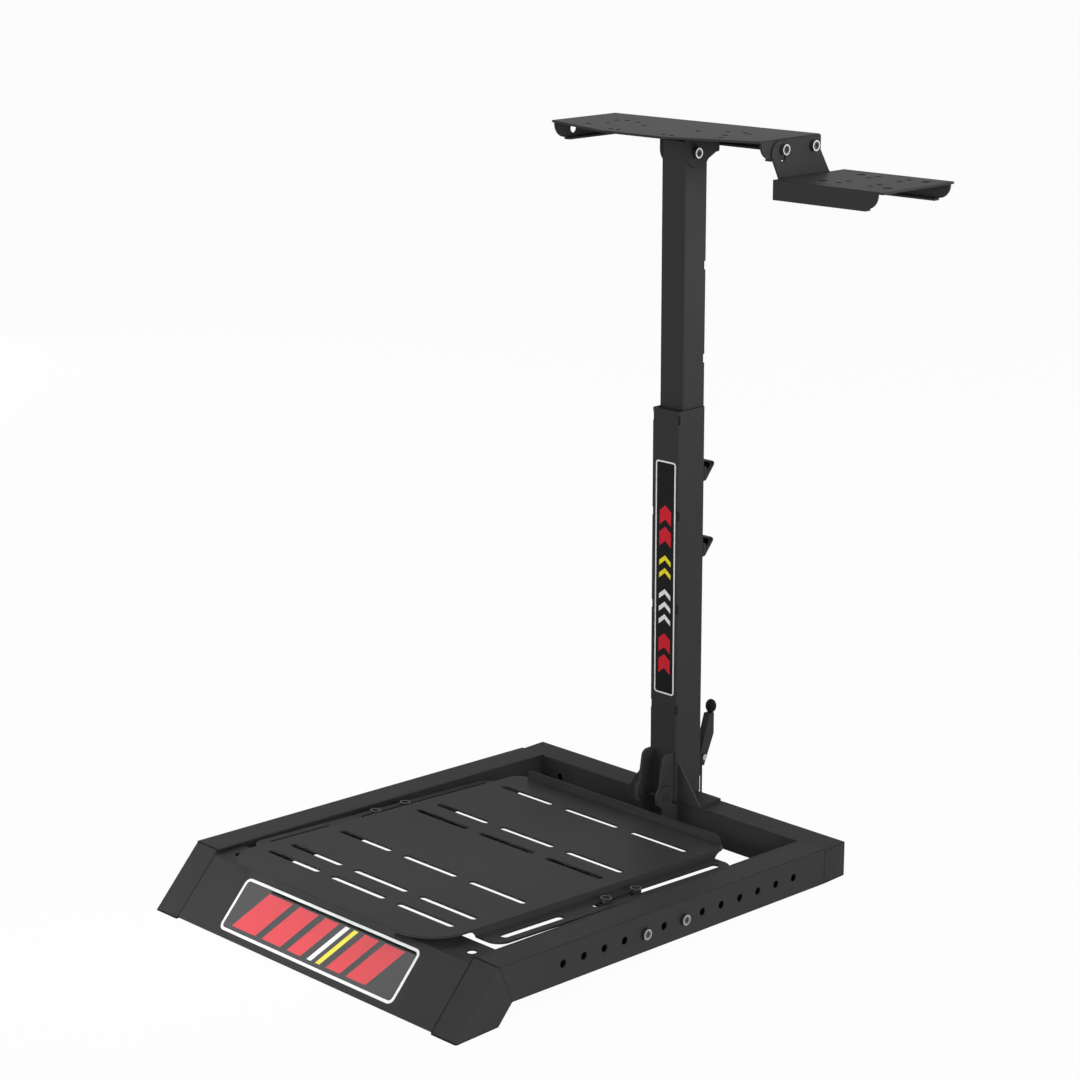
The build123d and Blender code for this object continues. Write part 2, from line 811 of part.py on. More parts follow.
def shifter_bolts():
    solids = []
    outer = shifter_left + plate_thickness + running_gap
    inner = plate_right - plate_thickness
    for y in (shifter_bolt_front, shifter_bolt_rear):
        shank = rod_x(bolt_diameter / 2, inner, outer, y, shifter_bolt_z)
        head = rod_x(bolt_head_diameter / 2, outer, outer + bolt_head_height, y, shifter_bolt_z)
        nut = rod_x(shifter_nut_diameter / 2, inner - bolt_head_height, inner, y, shifter_bolt_z)
        solids.append(shank + head + nut)
    return together(solids)


nodes["shifter_plate"] = shifter_plate()
nodes["shifter_bolts"] = shifter_bolts()

# Fold latch: a rocker on the back of the post whose hook reaches under a catch on the crossbar

arm_inner = latch_width / 2 + latch_arm_gap
arm_outer = arm_inner + latch_arm_thickness


def latch_bracket():
    base = block((-post_half, post_half), (post_rear, post_rear + latch_base_thickness),
                 (latch_pin_z - latch_base_low, latch_pin_z + latch_base_high))
    half = latch_arm_height / 2
    face = outline([(post_rear, latch_pin_z - half), (latch_pin_y, latch_pin_z - half),
                    (latch_pin_y, latch_pin_z + half), (post_rear, latch_pin_z + half)])
    face += Pos(latch_pin_y, latch_pin_z) * Circle(latch_head_diameter / 2)
    face -= Pos(latch_pin_y, latch_pin_z) * Circle(latch_pin_diameter / 2 + running_gap)
    arm = side_sheet(face, arm_inner, arm_outer)
    return base + arm + mirrored(arm)


def latch_pin():
    seat = arm_outer + running_gap
    part = rod_x(latch_pin_diameter / 2, -seat, seat, latch_pin_y, latch_pin_z)
    head = rod_x(latch_head_diameter / 2, seat, seat + latch_head_height, latch_pin_y, latch_pin_z)
    return part + head + mirrored(head)


def latch_lever():
    top = latch_pin_z + lever_rise
    rear = latch_pin_y + lever_rear
    foot = latch_pin_z - lever_foot
    face = outline([(latch_pin_y + lever_front, top), (rear, top), (rear, latch_pin_z + lever_knee),
                    (latch_pin_y + lever_tail, foot), (latch_pin_y - lever_boss, latch_pin_z)])
    face += Pos(latch_pin_y, latch_pin_z) * Circle(lever_boss)
    part = side_sheet(face, -latch_width / 2, latch_width / 2)
    hook_y = latch_pin_y + hook_offset
    radius = hook_diameter / 2
    part += rod_z(radius, hook_bottom, latch_pin_z - hook_offset, 0, hook_y)
    part += rod_y(radius, hook_y - hook_reach, hook_y + radius, 0, hook_bottom + radius)
    return part - rod_x(latch_pin_diameter / 2 + running_gap, -latch_width, latch_width, latch_pin_y, latch_pin_z)


def latch_ball():
    # An egg-shaped grip, turned about an upright axis, sits on the lever's top.
    oval = Ellipse(grip_width / 2, grip_height / 2)
    half = oval & Pos(grip_width / 2, 0) * Rectangle(grip_width, 2 * grip_height)
    egg = revolve(Plane.XZ * half, Axis.Z)
    top = latch_pin_z + lever_rise
    return Pos(0, latch_pin_y + grip_offset, top + grip_height / 2 - grip_seat) * egg - nodes["latch_lever"]


def latch_catch():
    web = block((-catch_width / 2, catch_width / 2), (crossbar_back, crossbar_back + catch_sheet),
                (hinge_bottom, hinge_web_top))
    shelf = block((-catch_width / 2, catch_width / 2), (crossbar_back, crossbar_back + catch_reach),
                  (catch_height - catch_thickness / 2, catch_height + catch_thickness / 2))
    return web + shelf


nodes["latch_bracket"] = latch_bracket()
nodes["latch_pin"] = latch_pin()
nodes["latch_lever"] = latch_lever()
nodes["latch_ball"] = latch_ball()
nodes["latch_catch"] = latch_catch()

os.makedirs("parts", exist_ok=True)
for name, part in nodes.items():
    export_step(part, f"parts/{name}.step")
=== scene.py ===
import math

import bmesh
import bpy
from mathutils import Matrix, Vector


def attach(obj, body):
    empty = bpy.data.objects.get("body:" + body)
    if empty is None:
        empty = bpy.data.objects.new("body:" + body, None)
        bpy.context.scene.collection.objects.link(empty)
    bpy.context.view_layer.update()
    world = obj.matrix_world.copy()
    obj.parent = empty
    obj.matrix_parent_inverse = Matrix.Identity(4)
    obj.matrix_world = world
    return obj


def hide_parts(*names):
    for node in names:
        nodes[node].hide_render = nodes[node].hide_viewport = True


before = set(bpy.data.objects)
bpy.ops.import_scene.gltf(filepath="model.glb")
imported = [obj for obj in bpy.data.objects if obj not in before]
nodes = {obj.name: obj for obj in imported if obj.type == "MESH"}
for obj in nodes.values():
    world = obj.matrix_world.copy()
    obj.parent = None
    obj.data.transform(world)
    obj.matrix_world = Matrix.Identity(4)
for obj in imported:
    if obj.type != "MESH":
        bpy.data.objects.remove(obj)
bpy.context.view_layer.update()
scene = bpy.context.scene
mm = 0.001
print("frame loaded,", len(nodes), "nodes")


def rotation(degrees, axis):
    return Matrix.Rotation(math.radians(degrees), 4, axis)


# camera, floor and light

shot = dict(place=(2.3383, -2.6223, 1.3793), heading=44.825, dip=15.318, roll=-0.204, lens=88.333,
            sensor=36, farClip=200)


def addCamera():
    data = bpy.data.cameras.new("shotCamera")
    data.sensor_width = shot["sensor"]
    data.lens = shot["lens"]
    data.clip_end = shot["farClip"]
    camera = bpy.data.objects.new("shotCamera", data)
    scene.collection.objects.link(camera)
    camera.matrix_world = (Matrix.Translation(shot["place"]) @ rotation(shot["heading"], "Z")
                           @ rotation(90 - shot["dip"], "X") @ rotation(shot["roll"], "Z"))
    scene.camera = camera


studio = dict(floorSize=90, floorColor=(0.86, 0.86, 0.86, 1), floorGlow=0.965, skyColor=(1, 1, 1, 1),
              skySeen=1, skyFill=0.1)


def newMaterial(name):
    material = bpy.data.materials.new(name)
    material.use_nodes = True
    material.node_tree.nodes.clear()
    return material, material.node_tree.nodes, material.node_tree.links


def mathNode(parts, links, operation, first, second, clamp=False):
    node = parts.new("ShaderNodeMath")
    node.operation = operation
    node.use_clamp = clamp
    for socket, value in zip(node.inputs, (first, second)):
        if isinstance(value, (int, float)):
            socket.default_value = value
        else:
            links.new(value, socket)
    return node.outputs[0]


def mixShaders(shaders, links, share, first, second, out):
    mix = shaders.new("ShaderNodeMixShader")
    for source, socket in zip((share, first.outputs[0], second.outputs[0]), mix.inputs):
        links.new(source, socket)
    links.new(mix.outputs[0], out.inputs["Surface"])


def addFloor():
    bm = bmesh.new()
    bmesh.ops.create_grid(bm, x_segments=1, y_segments=1, size=studio["floorSize"] / 2)
    mesh = bpy.data.meshes.new("studioFloor")
    bm.to_mesh(mesh)
    bm.free()
    floor = bpy.data.objects.new("studioFloor", mesh)
    scene.collection.objects.link(floor)
    material, shaders, links = newMaterial("paleFloor")
    out = shaders.new("ShaderNodeOutputMaterial")
    paint = shaders.new("ShaderNodeBsdfDiffuse")
    paint.inputs["Color"].default_value = studio["floorColor"]
    glow = shaders.new("ShaderNodeEmission")
    path = shaders.new("ShaderNodeLightPath")
    seen = mathNode(shaders, links, "MAXIMUM", path.outputs["Is Camera Ray"], path.outputs["Is Glossy Ray"])
    lifted = mathNode(shaders, links, "MULTIPLY", seen, studio["floorGlow"])  # near white where it is seen
    mixShaders(shaders, links, lifted, paint, glow, out)
    mesh.materials.append(material)


def addSky():
    world = bpy.data.worlds.new("studioSky")
    world.use_nodes = True
    scene.world = world
    shaders, links = world.node_tree.nodes, world.node_tree.links
    shaders.clear()
    out = shaders.new("ShaderNodeOutputWorld")
    white = shaders.new("ShaderNodeBackground")
    fill = shaders.new("ShaderNodeBackground")
    for light, strength in ((white, studio["skySeen"]), (fill, studio["skyFill"])):
        light.inputs["Color"].default_value = studio["skyColor"]
        light.inputs["Strength"].default_value = strength
    path = shaders.new("ShaderNodeLightPath")
    seen = mathNode(shaders, links, "MAXIMUM", path.outputs["Is Camera Ray"], path.outputs["Is Glossy Ray"])
    seen = mathNode(shaders, links, "MAXIMUM", seen, path.outputs["Is Transmission Ray"])
    mixShaders(shaders, links, seen, fill, white, out)


standMiddle = (0, -0.2, 0.45)
lamps = [dict(name="keyLamp", place=(3.6, -0.6, 0.9), aim=standMiddle, size=2.4, watts=76),
         dict(name="frontLamp", place=(-2.3, -3.9, 0.9), aim=standMiddle, size=2.4, watts=56),
         dict(name="cameraLamp", place=(2.6, -3.2, 1.4), aim=standMiddle, size=2.4, watts=58),
         dict(name="leftLamp", place=(-3.8, 0.4, 1.0), aim=standMiddle, size=2.0, watts=34),
         dict(name="rearLamp", place=(0.8, 3.9, 1.0), aim=standMiddle, size=2.0, watts=40),
         dict(name="topLamp", place=(0.4, 0.3, 3.2), aim=(0, -0.1, 0), size=1.6, watts=19),
         dict(name="panelLamp", place=(-1.0, -2.4, 1.0), aim=(-0.12, -0.72, 0), size=0.5, watts=0.6,
              beam=16),
         dict(name="mastLamp", place=(2.6, 0.3, 1.0), aim=(0.1, -0.02, 0.93), size=0.5, watts=0.36,
              beam=14)]
openBeam = 180


def addLamps():
    for lamp in lamps:
        data = bpy.data.lights.new(lamp["name"], "AREA")
        data.size = lamp["size"]
        data.energy = lamp["watts"]
        data.spread = math.radians(lamp.get("beam", openBeam))
        lampObject = bpy.data.objects.new(lamp["name"], data)
        scene.collection.objects.link(lampObject)
        lampObject.visible_glossy = False  # no lamp shows as a patch in the sticker
        away = Vector(lamp["aim"]) - Vector(lamp["place"])
        lampObject.location = lamp["place"]
        lampObject.rotation_euler = away.to_track_quat("-Z", "Y").to_euler()


addCamera()
addFloor()
addSky()
addLamps()
scene.view_settings.view_transform = "Standard"
print("studio set")

# effects that several finishes share


def newGroup(name, inputs, outputs):
    group = bpy.data.node_groups.new(name, "ShaderNodeTree")
    for label, value in inputs:
        socket = group.interface.new_socket(label, in_out="INPUT", socket_type="NodeSocketFloat")
        socket.default_value = value
    for label, kind in outputs:
        group.interface.new_socket(label, in_out="OUTPUT", socket_type=kind)
    given = group.nodes.new("NodeGroupInput")
    result = group.nodes.new("NodeGroupOutput")
    return group, group.nodes, group.links, given, result


def noiseOn(parts, links, scale, detail):
    place = parts.new("ShaderNodeTexCoord")
    noise = parts.new("ShaderNodeTexNoise")
    noise.inputs["Detail"].default_value = detail
    links.new(place.outputs["Object"], noise.inputs["Vector"])
    links.new(scale, noise.inputs["Scale"])
    return noise.outputs["Fac"]


def grainGroup():
    group, parts, links, given, result = newGroup(
        "coatGrain", [("Grain Scale", 900), ("Cloud Scale", 14)],
        [("Grain", "NodeSocketFloat"), ("Cloud", "NodeSocketFloat")])
    for label, detail in (("Grain", 2), ("Cloud", 4)):
        links.new(noiseOn(parts, links, given.outputs[label + " Scale"], detail), result.inputs[label])
    return group


# painted edge shading: a mask that grows along the edges, which the finishes colour darker as painted shade
# lines at corners and lighter as painted edge highlights; the Bevel normal it also gives rounds the edges'
# real shading
def edgeGroup():
    group, parts, links, given, result = newGroup(
        "paintedEdgeShading", [("Radius", 0.0008), ("Gain", 6), ("Breakup Scale", 120)],
        [("Mask", "NodeSocketFloat"), ("Normal", "NodeSocketVector")])
    bevel = parts.new("ShaderNodeBevel")
    bevel.samples = 6
    links.new(given.outputs["Radius"], bevel.inputs["Radius"])
    surface = parts.new("ShaderNodeNewGeometry")
    dot = parts.new("ShaderNodeVectorMath")
    dot.operation = "DOT_PRODUCT"
    links.new(bevel.outputs["Normal"], dot.inputs[0])
    links.new(surface.outputs["Normal"], dot.inputs[1])
    turned = mathNode(parts, links, "SUBTRACT", 1, dot.outputs["Value"])  # grows where the edge rounds off
    patches = noiseOn(parts, links, given.outputs["Breakup Scale"], 2)
    broken = mathNode(parts, links, "MULTIPLY", turned, patches)
    gained = mathNode(parts, links, "MULTIPLY", broken, given.outputs["Gain"], True)
    links.new(gained, result.inputs["Mask"])
    links.new(bevel.outputs["Normal"], result.inputs["Normal"])
    return group


def dustGroup():
    group, parts, links, given, result = newGroup(
        "settledDust", [("Scale", 22)], [("Mask", "NodeSocketFloat")])
    surface = parts.new("ShaderNodeNewGeometry")
    split = parts.new("ShaderNodeSeparateXYZ")
    links.new(surface.outputs["Normal"], split.inputs[0])
    patches = noiseOn(parts, links, given.outputs["Scale"], 5)
    upward = mathNode(parts, links, "MULTIPLY", split.outputs["Z"], patches, True)
    links.new(upward, result.inputs["Mask"])
    return group


def barGroup():
    group, parts, links, given, result = newGroup(
        "printedBar", [("Along", 0), ("Middle", 0), ("Width", 0.01)], [("Mask", "NodeSocketFloat")])
    away = mathNode(parts, links, "SUBTRACT", given.outputs["Along"], given.outputs["Middle"])
    span = mathNode(parts, links, "ABSOLUTE", away, 0)
    half = mathNode(parts, links, "MULTIPLY", given.outputs["Width"], 0.5)
    links.new(mathNode(parts, links, "LESS_THAN", span, half), result.inputs["Mask"])
    return group


grain = grainGroup()
edges = edgeGroup()
dust = dustGroup()
bar = barGroup()
print("shared effects built")

# finishes


def placeGroup(shaders, group, **values):
    node = shaders.new("ShaderNodeGroup")
    node.node_tree = group
    for label, value in values.items():
        node.inputs[label.replace("_", " ")].default_value = value
    return node


def blend(shaders, links, share, first, second):
    node = shaders.new("ShaderNodeMix")
    node.data_type = "RGBA"
    colors = [socket for socket in node.inputs if socket.type == "RGBA"]
    for socket, value in ((node.inputs[0], share), (colors[0], first), (colors[1], second)):
        if isinstance(value, (int, float, tuple)):
            socket.default_value = value
        else:
            links.new(value, socket)
    return [socket for socket in node.outputs if socket.type == "RGBA"][0]


def spread(shaders, links, value, low, high):
    node = shaders.new("ShaderNodeMapRange")
    node.inputs["To Min"].default_value = low
    node.inputs["To Max"].default_value = high
    links.new(value, node.inputs["Value"])
    return node.outputs["Result"]


def newSkin(name, specular):
    material, shaders, links = newMaterial(name)
    out = shaders.new("ShaderNodeOutputMaterial")
    skin = shaders.new("ShaderNodeBsdfPrincipled")
    skin.inputs["Specular IOR Level"].default_value = specular
    links.new(skin.outputs[0], out.inputs["Surface"])
    return material, shaders, links, skin


usual = dict(metallic=0, specular=0.5, edgeGain=6, bumpDistance=0.0002,
             dustColor=(0.35, 0.34, 0.33, 1))


def finish(**values):
    look = dict(usual, **values)
    material, shaders, links, skin = newSkin(look["name"], look["specular"])
    skin.inputs["Metallic"].default_value = look["metallic"]
    spots = placeGroup(shaders, grain, Grain_Scale=look["grainScale"], Cloud_Scale=look["cloudScale"])
    color = blend(shaders, links, spots.outputs["Cloud"], look["dark"], look["light"])
    # the look's edge colour laid along the edges is painted edge shading: darker lines on coat and plastic,
    # lighter highlights on plates, bolts, zinc and vinyl
    edgeShading = placeGroup(shaders, edges, Radius=look["edgeRadius"], Gain=look["edgeGain"])
    edgeShadingShare = spread(shaders, links, edgeShading.outputs["Mask"], 0, look["edgeShare"])
    color = blend(shaders, links, edgeShadingShare, color, look["edge"])
    settled = placeGroup(shaders, dust)
    dustShare = spread(shaders, links, settled.outputs["Mask"], 0, look["dustShare"])
    color = blend(shaders, links, dustShare, color, look["dustColor"])
    links.new(color, skin.inputs["Base Color"])
    links.new(spread(shaders, links, spots.outputs["Grain"], *look["roughness"]), skin.inputs["Roughness"])
    bump = shaders.new("ShaderNodeBump")
    bump.inputs["Strength"].default_value = look["bump"]
    bump.inputs["Distance"].default_value = look["bumpDistance"]
    links.new(spots.outputs["Grain"], bump.inputs["Height"])
    links.new(edgeShading.outputs["Normal"], bump.inputs["Normal"])
    links.new(bump.outputs["Normal"], skin.inputs["Normal"])
    return material


# edge on the coats is painted shade: near-black lines along the sheet corners, in a wider band along the tube
# corners
coatLook = dict(dark=(0.036, 0.036, 0.037, 1), light=(0.044, 0.044, 0.045, 1), edge=(0.010, 0.010, 0.011, 1),
                edgeShare=0.8, edgeRadius=0.001, edgeGain=18, grainScale=1100, cloudScale=9,
                roughness=(0.39, 0.51), specular=0.020, bump=0.12, dustShare=0.02)
tubeLook = dict(coatLook, edgeRadius=0.0022, edgeGain=7, edgeShare=0.6)
# the plates' lighter edge is a painted highlight along the gusset and hinge-ear edges
plateLook = dict(coatLook, edge=(0.16, 0.16, 0.16, 1), edgeGain=9)
# the seam strips' near-black coat is painted shadow along the foot joints
seamShadowLook = dict(coatLook, dark=(0.006, 0.006, 0.006, 1), light=(0.010, 0.010, 0.010, 1))
# edge on the plastic is painted shade: slightly darker lines along the moulded edges
plasticLook = dict(dark=(0.007, 0.007, 0.008, 1), light=(0.012, 0.012, 0.013, 1),
                   edge=(0.006, 0.006, 0.006, 1), edgeShare=0.6, edgeRadius=0.0008, grainScale=1600,
                   cloudScale=30, roughness=(0.40, 0.52), specular=0.06, bump=0.1, dustShare=0.005)
# edge on the bolts is a painted highlight: lighter rims on the black heads
boltLook = dict(dark=(0.018, 0.018, 0.019, 1), light=(0.03, 0.03, 0.031, 1), edge=(0.12, 0.12, 0.12, 1),
                edgeShare=0.5, edgeRadius=0.0004, grainScale=2200, cloudScale=60, roughness=(0.42, 0.56),
                specular=0.25, bump=0.05, dustShare=0)
# the edge colours of the zinc finishes below are painted highlights: lighter rims along the edges
zincLook = dict(edgeShare=0.3, edgeRadius=0.0002, grainScale=2600, cloudScale=80, metallic=1, bump=0.04,
                dustShare=0)
# edge on the vinyl is a painted highlight along the sticker edges
vinylLook = dict(dark=(0.80, 0.80, 0.79, 1), light=(0.88, 0.88, 0.87, 1), edge=(0.9, 0.9, 0.9, 1),
                 edgeShare=0.2, edgeRadius=0.0002, grainScale=700, cloudScale=25, roughness=(0.3, 0.4),
                 bump=0.02, dustShare=0.05)

coat = finish(name="sheetCoat", **coatLook)
tubeCoat = finish(name="tubeCoat", **tubeLook)
plateCoat = finish(name="plateCoat", **plateLook)
seamPaintedShadow = finish(name="seamPaintedShadow", **seamShadowLook)
plastic = finish(name="mouldedBlack", **plasticLook)
boltBlack = finish(name="blackBolt", **boltLook)
brightZinc = finish(name="brightZinc", dark=(0.86, 0.86, 0.87, 1), light=(0.95, 0.95, 0.96, 1),
                    edge=(0.98, 0.98, 0.98, 1), roughness=(0.26, 0.4), **zincLook)
satinZinc = finish(name="satinZinc", dark=(0.36, 0.36, 0.37, 1), light=(0.46, 0.46, 0.47, 1),
                   edge=(0.6, 0.6, 0.6, 1), roughness=(0.34, 0.48), **zincLook)
greyZinc = finish(name="greyZinc", dark=(0.17, 0.17, 0.172, 1), light=(0.21, 0.21, 0.212, 1),
                  edge=(0.4, 0.4, 0.4, 1), roughness=(0.38, 0.52), **zincLook)
darkZinc = finish(name="darkZinc", dark=(0.11, 0.11, 0.115, 1), light=(0.16, 0.16, 0.165, 1),
                  edge=(0.3, 0.3, 0.3, 1), roughness=(0.4, 0.55), **zincLook)
whiteVinyl = finish(name="whiteVinyl", **vinylLook)

nodeFinish = dict(glide_pads=plastic)
nodeFinish |= dict.fromkeys(
    ("rear_crossbar", "left_rail", "right_rail", "left_foot", "right_foot", "mast"), tubeCoat)
nodeFinish |= dict.fromkeys(
    ("left_gusset", "right_gusset", "left_hinge_ear", "right_hinge_ear"), plateCoat)
for name, node in nodes.items():
    node.data.materials.clear()
    node.data.materials.append(nodeFinish.get(name, coat))
print("finishes set")

# modelling steps that several pieces share

tiny = 1e-6
pieceWeld, latheWeld = 1e-5, 5e-6  # metres


def newPiece(name, bm, body, materials, replaced=(), smoothAngle=35):
    bmesh.ops.remove_doubles(bm, verts=bm.verts[:], dist=pieceWeld)
    bmesh.ops.recalc_face_normals(bm, faces=bm.faces[:])
    mesh = bpy.data.meshes.new(name)
    bm.to_mesh(mesh)
    bm.free()
    mesh.polygons.foreach_set("use_smooth", [True] * len(mesh.polygons))
    mesh.set_sharp_from_angle(angle=math.radians(smoothAngle))
    for material in materials:
        mesh.materials.append(material)
    piece = bpy.data.objects.new(name, mesh)
    scene.collection.objects.link(piece)
    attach(piece, body)
    if replaced:
        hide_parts(*replaced)


def addedSince(bm, start):
    return [vert for vert in bm.verts if vert not in start]


def pointsOf(made):
    return [item for item in made["geom"] if isinstance(item, bmesh.types.BMVert)]


def flatSheet(bm, length, width):
    grid = bmesh.ops.create_grid(bm, x_segments=1, y_segments=1, size=0.5)
    bmesh.ops.scale(bm, vec=(length * mm, width * mm, 1), verts=grid["verts"])
    return grid["verts"]


def pullOut(bm, faces, x=0, z=0):
    pulled = pointsOf(bmesh.ops.extrude_face_region(bm, geom=list(faces)))
    bmesh.ops.translate(bm, verts=pulled, vec=(x * mm, 0, z * mm))
    return pulled


def faceOn(verts):
    return [face for face in verts[0].link_faces if all(vert in verts for vert in face.verts)][0]


def soften(bm, geom, offset, segments, affect="EDGES"):
    bmesh.ops.bevel(bm, geom=geom, offset=offset * mm, affect=affect, segments=segments, profile=0.5,
                    material=-1)


def lathe(bm, profile, steps=40):
    start = set(bm.verts)
    verts = [bm.verts.new((radius * mm, 0, height * mm)) for radius, height in profile]
    chain = [bm.edges.new(pair) for pair in zip(verts, verts[1:])]
    bmesh.ops.spin(bm, geom=verts + chain, cent=(0, 0, 0), axis=(0, 0, 1), angle=math.tau, steps=steps,
                   use_merge=True)
    points = addedSince(bm, start)
    bmesh.ops.remove_doubles(bm, verts=points, dist=latheWeld)
    return [vert for vert in points if vert.is_valid]


def hexPlate(bm, across, z=0):
    return bmesh.ops.create_circle(bm, segments=6, radius=across * mm / math.sqrt(3), cap_ends=True,
                                   matrix=Matrix.Translation((0, 0, z * mm)))["verts"]


def facing(x, y, z, axis):
    degrees, about = {"+X": (90, "Y"), "-X": (-90, "Y"), "+Y": (-90, "X"), "+Z": (0, "Z")}[axis]
    return Matrix.Translation((x * mm, y * mm, z * mm)) @ rotation(degrees, about)


# bolts and pins

headSpec = dict(headRadius=7.35, headHeight=6, ringInner=5.3, ringTaper=0.3, chamfer=0.4, recess=0.6,
                socket=6.4, socketDepth=2, shankRadius=4.7, reach=4)
nutSpec = dict(across=13.6, height=5, soft=0.7, bore=9.4, proud=1, tipChamfer=0.6, sunk=0.2)


def hexSocket(bm, width, top, depth, material):
    rim = hexPlate(bm, width, top - depth)
    walls = bmesh.ops.extrude_edge_only(bm, edges=list(rim[0].link_faces[0].edges))
    raised = pointsOf(walls)
    bmesh.ops.translate(bm, verts=raised, vec=(0, 0, depth * mm))
    for face in {face for vert in rim for face in vert.link_faces}:
        face.material_index = material
    wallEdges = [item for item in walls["geom"] if isinstance(item, bmesh.types.BMEdge)]
    return [edge for edge in wallEdges if all(vert in raised for vert in edge.verts)]


def capScrew(bm, matrix, spec):
    start = set(bm.verts)
    radius, height, recess = spec["headRadius"], spec["headHeight"], spec["recess"]
    shank, reach, ringInner = spec["shankRadius"], spec["reach"], spec["ringInner"]
    ringOuter, floor = radius - spec["chamfer"], height - recess
    body = lathe(bm, [(0, -reach), (shank, -reach), (shank, 0), (radius, 0),
                      (radius, height - spec["chamfer"]), (ringOuter, height), (ringInner, height),
                      (ringInner - spec["ringTaper"], floor)])
    for face in {face for vert in body for face in vert.link_faces}:
        middle = face.calc_center_median()
        if middle.z > floor * mm and middle.xy.length < ringOuter * mm:
            face.material_index = 1 if middle.z > (height - recess / 4) * mm else 2  # ring, then its slope
    mouth = hexSocket(bm, spec["socket"], floor, spec["socketDepth"], 2)
    mouth += {edge for vert in body for edge in vert.link_edges if edge.is_boundary}
    filled = bmesh.ops.triangle_fill(bm, use_beauty=True, edges=mouth, normal=(0, 0, 1))
    for face in filled["geom"]:
        if isinstance(face, bmesh.types.BMFace):
            face.material_index = 2
    bmesh.ops.transform(bm, matrix=matrix, verts=addedSince(bm, start))


def hexNut(bm, matrix, spec):
    start = set(bm.verts)
    height, radius, chamfer = spec["height"], spec["bore"] / 2, spec["tipChamfer"]
    top = pullOut(bm, hexPlate(bm, spec["across"])[0].link_faces, z=height)
    soften(bm, list(faceOn(top).edges), spec["soft"], 2)
    end, foot = height + spec["proud"], height - spec["sunk"]
    stub = [(0, end), (radius - chamfer, end), (radius, end - chamfer), (radius, foot), (0, foot)]
    lathe(bm, stub, steps=24)
    bmesh.ops.transform(bm, matrix=matrix, verts=addedSince(bm, start))


railBolt = dict(places=((-302.45, 36.8), (-374.79, 39.83)), face=285, nutFace=242)


def railBolts():
    bm = bmesh.new()
    for side, axis, back in ((1, "+X", "-X"), (-1, "-X", "+X")):
        for y, z in railBolt["places"]:
            capScrew(bm, facing(side * railBolt["face"], y, z, axis), headSpec)
            hexNut(bm, facing(side * railBolt["nutFace"], y, z, back), nutSpec)
    newPiece("railBolts", bm, "base", [boltBlack, satinZinc, greyZinc], ["rail_bolts"])


deckBolt = dict(x=217, rows=(-372.47, -317.97), seat=-9.7, lift=48.6, pitch=3.42, ringInner=5.7, recess=2.4,
                under=-15.8, nutHeight=4.4)


def deckBolts():
    bm = bmesh.new()
    slope = Matrix.Translation((0, 0, deckBolt["lift"] * mm)) @ rotation(-deckBolt["pitch"], "X")
    flip = rotation(180, "X")
    head = dict(headSpec, ringInner=deckBolt["ringInner"], recess=deckBolt["recess"])
    nut = dict(nutSpec, height=deckBolt["nutHeight"])
    for x in (-deckBolt["x"], deckBolt["x"]):
        for row in deckBolt["rows"]:
            capScrew(bm, slope @ facing(x, row, deckBolt["seat"], "+Z"), head)
            hexNut(bm, slope @ facing(x, row, deckBolt["under"], "+Z") @ flip, nut)
    newPiece("deckBolts", bm, "base", [boltBlack, darkZinc, boltBlack], ["deck_bolts"])


tiltBolt = dict(y=-1.9, z=949.9, face=25.1)


def tiltBolts():
    bm = bmesh.new()
    capScrew(bm, facing(tiltBolt["face"], tiltBolt["y"], tiltBolt["z"], "+X"), headSpec)
    hexNut(bm, facing(-tiltBolt["face"], tiltBolt["y"], tiltBolt["z"], "-X"), nutSpec)
    newPiece("tiltBolt", bm, "mast", [boltBlack, brightZinc, greyZinc], ["tilt_bolt"])


shifterBolt = dict(rows=(-13.7, 46), z=968.4, face=182.6, nutFace=176, nutAcross=11.6)


def shifterBolts():
    bm = bmesh.new()
    nut = dict(nutSpec, across=shifterBolt["nutAcross"])
    for y in shifterBolt["rows"]:
        capScrew(bm, facing(shifterBolt["face"], y, shifterBolt["z"], "+X"), headSpec)
        hexNut(bm, facing(shifterBolt["nutFace"], y, shifterBolt["z"], "-X"), nut)
    newPiece("shifterBolts", bm, "wheel_plate", [boltBlack, brightZinc, greyZinc],
             ["shifter_bolts"])


hingePin = dict(y=-47, z=61, outer=24.1, inner=17.2, head=6.5, shank=4, rise=1.5, dimple=2.2, dimpleRim=2.6,
                dimpleDepth=0.3, faceChamfer=(0.7, 0.6), backChamfer=(0.6, 0.5))


def hingePins():
    bm = bmesh.new()
    head, shank, rise = hingePin["head"], hingePin["shank"], hingePin["rise"]
    length = hingePin["outer"] - hingePin["inner"]
    floor, back = rise - hingePin["dimpleDepth"], -length - rise
    faceIn, faceDown = hingePin["faceChamfer"]
    backIn, backUp = hingePin["backChamfer"]
    profile = [(0, floor), (hingePin["dimple"], floor), (hingePin["dimpleRim"], rise), (head - faceIn, rise),
               (head, rise - faceDown), (head, 0), (shank, 0), (shank, -length), (head, -length),
               (head, back + backUp), (head - backIn, back), (0, back)]
    for side, axis in ((1, "+X"), (-1, "-X")):
        place = facing(side * hingePin["outer"], hingePin["y"], hingePin["z"], axis)
        bmesh.ops.transform(bm, matrix=place, verts=lathe(bm, profile))
    newPiece("hingePins", bm, "base", [boltBlack], ["hinge_pins"])


latchPin = dict(y=51.2, z=90.2, seat=7.8, head=4.3, shank=2.5, rise=1.5, boss=1.2, bossFoot=1.5,
                bossHeight=0.2, crown=0.1, chamfer=0.5)


